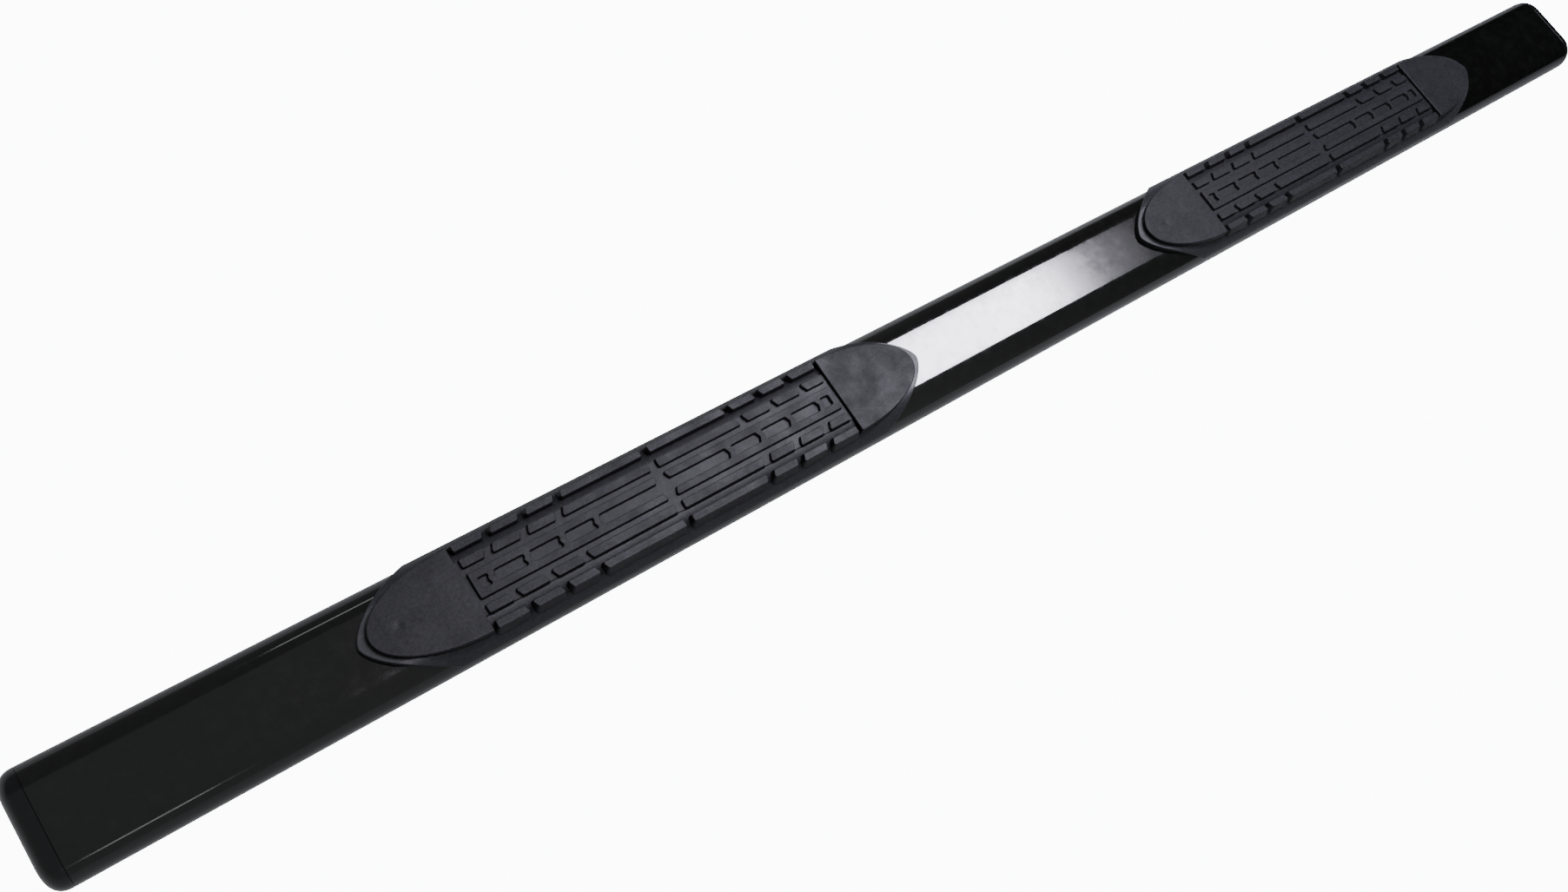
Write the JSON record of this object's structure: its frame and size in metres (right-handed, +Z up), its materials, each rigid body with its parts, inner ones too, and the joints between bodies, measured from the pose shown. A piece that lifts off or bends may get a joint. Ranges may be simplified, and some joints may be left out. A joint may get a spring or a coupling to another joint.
{
  "type": "truck running board",
  "caption": "Flat-sided oval tube side step with domed end caps, moulded tread pads and threaded bosses under it for brackets.",
  "frame": {"origin": "middle of the bar on its flat underside", "axes": "+X along the bar from its front end to its rear end, +Y across it, +Z up through the treads"},
  "size_m": [1.981, 0.1016, 0.0608],
  "materials": {
    "tube_paint": "high-gloss black powder coat on steel",
    "cap_plastic": "gloss black moulded plastic",
    "base_plastic": "fine-grained satin black moulded plastic",
    "tread_rubber": "fine-grained charcoal rubber",
    "cover_plastic": "fine-grained matt charcoal moulded plastic",
    "screw_steel": "stainless steel",
    "nut_steel": "yellow zinc plated steel",
    "clip_nylon": "natural nylon",
    "foam": "closed-cell foam tape",
    "boss_steel": "steel under the tube's black powder coat, bare thread"
  },
  "bodies": {
    "root": {"main_tube": "tube_paint", "front_end_cap": "cap_plastic", "rear_end_cap": "cap_plastic", "front_pad_base": "base_plastic", "front_pad_tread": "tread_rubber", "front_pad_front_cover": "cover_plastic", "front_pad_rear_cover": "cover_plastic", "front_pad_screws": "screw_steel", "front_pad_rivet_nuts": "nut_steel", "front_pad_cover_clips": "clip_nylon", "front_pad_foam_strips": "foam", "rear_pad_base": "base_plastic", "rear_pad_tread": "tread_rubber", "rear_pad_front_cover": "cover_plastic", "rear_pad_rear_cover": "cover_plastic", "rear_pad_screws": "screw_steel", "rear_pad_rivet_nuts": "nut_steel", "rear_pad_cover_clips": "clip_nylon", "rear_pad_foam_strips": "foam", "front_bracket_bosses": "boss_steel", "middle_bracket_bosses": "boss_steel", "rear_bracket_bosses": "boss_steel"}
  },
  "joints": []
}
